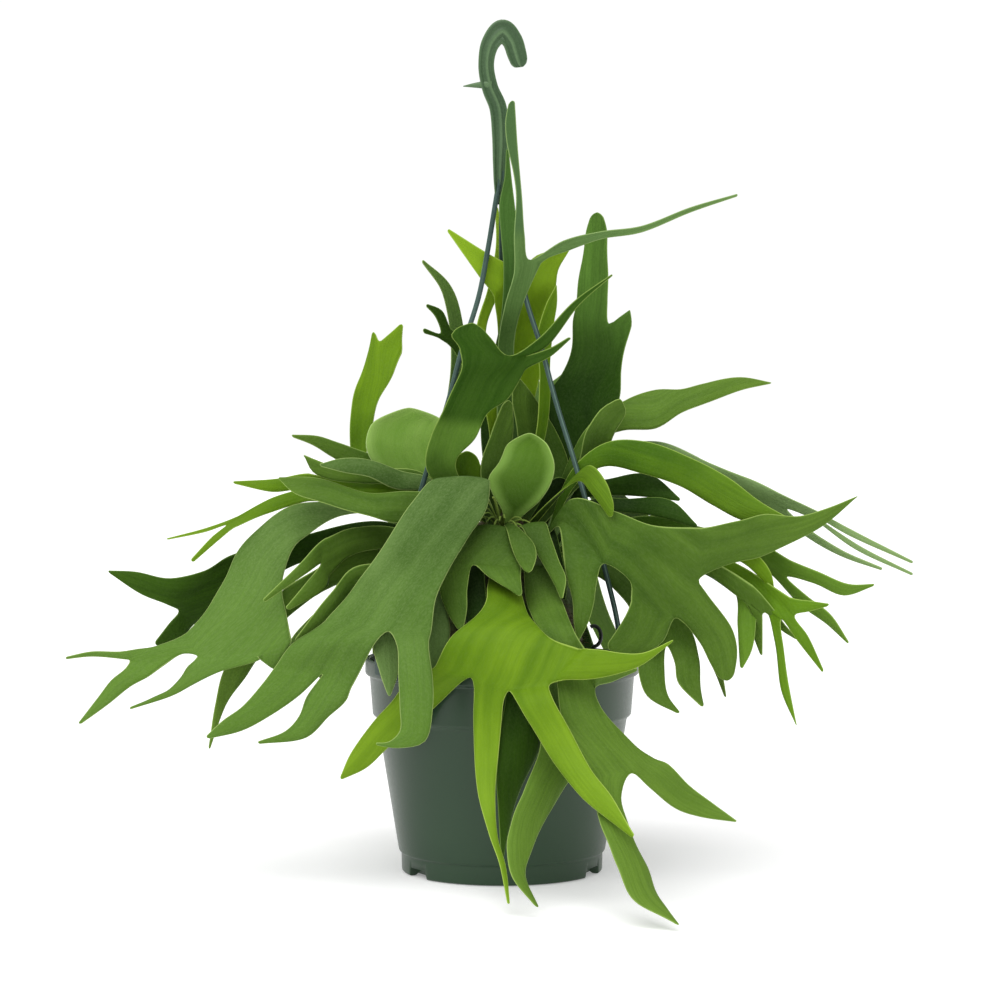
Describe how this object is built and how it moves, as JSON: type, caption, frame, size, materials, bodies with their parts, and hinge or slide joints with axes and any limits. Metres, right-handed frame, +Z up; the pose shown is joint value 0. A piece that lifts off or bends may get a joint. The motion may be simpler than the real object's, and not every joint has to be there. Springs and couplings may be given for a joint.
{
  "type": "potted staghorn fern",
  "caption": "Staghorn fern with long forked antler fronds arching out of a round nursery pot, which stands on its foot or hangs by a hook on thin strands.",
  "frame": {"origin": "centre of the pot's foot, on the plane it stands on", "axes": "+Z up along the pot's axis to the hook, -Y towards the viewer of the picture, +X to the viewer's right"},
  "size_m": [0.6221, 0.4949, 0.6355],
  "materials": {
    "pot": "satin",
    "hook": "satin",
    "strand": "satin",
    "growing_mix": "matte",
    "root_mound": "matte",
    "frond_felt": "satin",
    "frond_mid": "satin",
    "frond_bright": "satin",
    "frond_lime": "satin",
    "frond_dark": "satin",
    "frond_shield": "satin"
  },
  "bodies": {
    "root": {"frond_back_arching_a": "frond_mid", "frond_back_arching_b": "frond_felt", "frond_back_arching_c": "frond_bright", "frond_back_arching_d": "frond_mid", "frond_back_bright": "frond_lime", "frond_back_centre": "frond_dark", "frond_back_drooping_a": "frond_dark", "frond_back_drooping_b": "frond_mid", "frond_back_rising_a": "frond_felt", "frond_back_short": "frond_dark", "frond_back_strip": "frond_bright", "frond_centre_dark": "frond_mid", "frond_centre_under": "frond_dark", "frond_cupped": "frond_dark", "frond_front_bright": "frond_bright", "frond_front_left": "frond_felt", "frond_front_middle": "frond_mid", "frond_front_right": "frond_mid", "frond_front_under": "frond_dark", "frond_left_broad": "frond_felt", "frond_left_dark": "frond_dark", "frond_left_front": "frond_mid", "frond_left_hanging": "frond_mid", "frond_left_inner": "frond_mid", "frond_left_narrow": "frond_mid", "frond_left_tip_high": "frond_mid", "frond_left_tip_low": "frond_mid", "frond_left_top_felt": "frond_felt", "frond_left_under": "frond_felt", "frond_left_upright": "frond_lime", "frond_left_yellow": "frond_lime", "frond_right_arching": "frond_lime", "frond_right_dark_lower": "frond_dark", "frond_right_dark_upper": "frond_dark", "frond_right_hanging": "frond_lime", "frond_right_hanging_pair": "frond_mid", "frond_right_large": "frond_mid", "frond_right_low_bright": "frond_lime", "frond_right_pale": "frond_felt", "frond_right_small_bright": "frond_lime", "frond_right_small_upright": "frond_mid", "frond_right_tall": "frond_dark", "frond_right_under": "frond_lime", "frond_right_upper": "frond_mid", "frond_shield_dark": "frond_dark", "frond_shield_left": "frond_shield", "frond_shield_middle": "frond_shield", "frond_swoop": "frond_mid", "frond_upper_left_dark": "frond_dark", "frond_upper_left_thin": "frond_felt", "frond_upper_slant": "frond_mid", "frond_upper_young": "frond_mid", "frond_young_right": "frond_mid", "growing_mix": "growing_mix", "hook": "hook", "pot": "pot", "root_mound": "root_mound", "strand_back": "strand", "strand_left": "strand", "strand_right": "strand"}
  },
  "joints": []
}
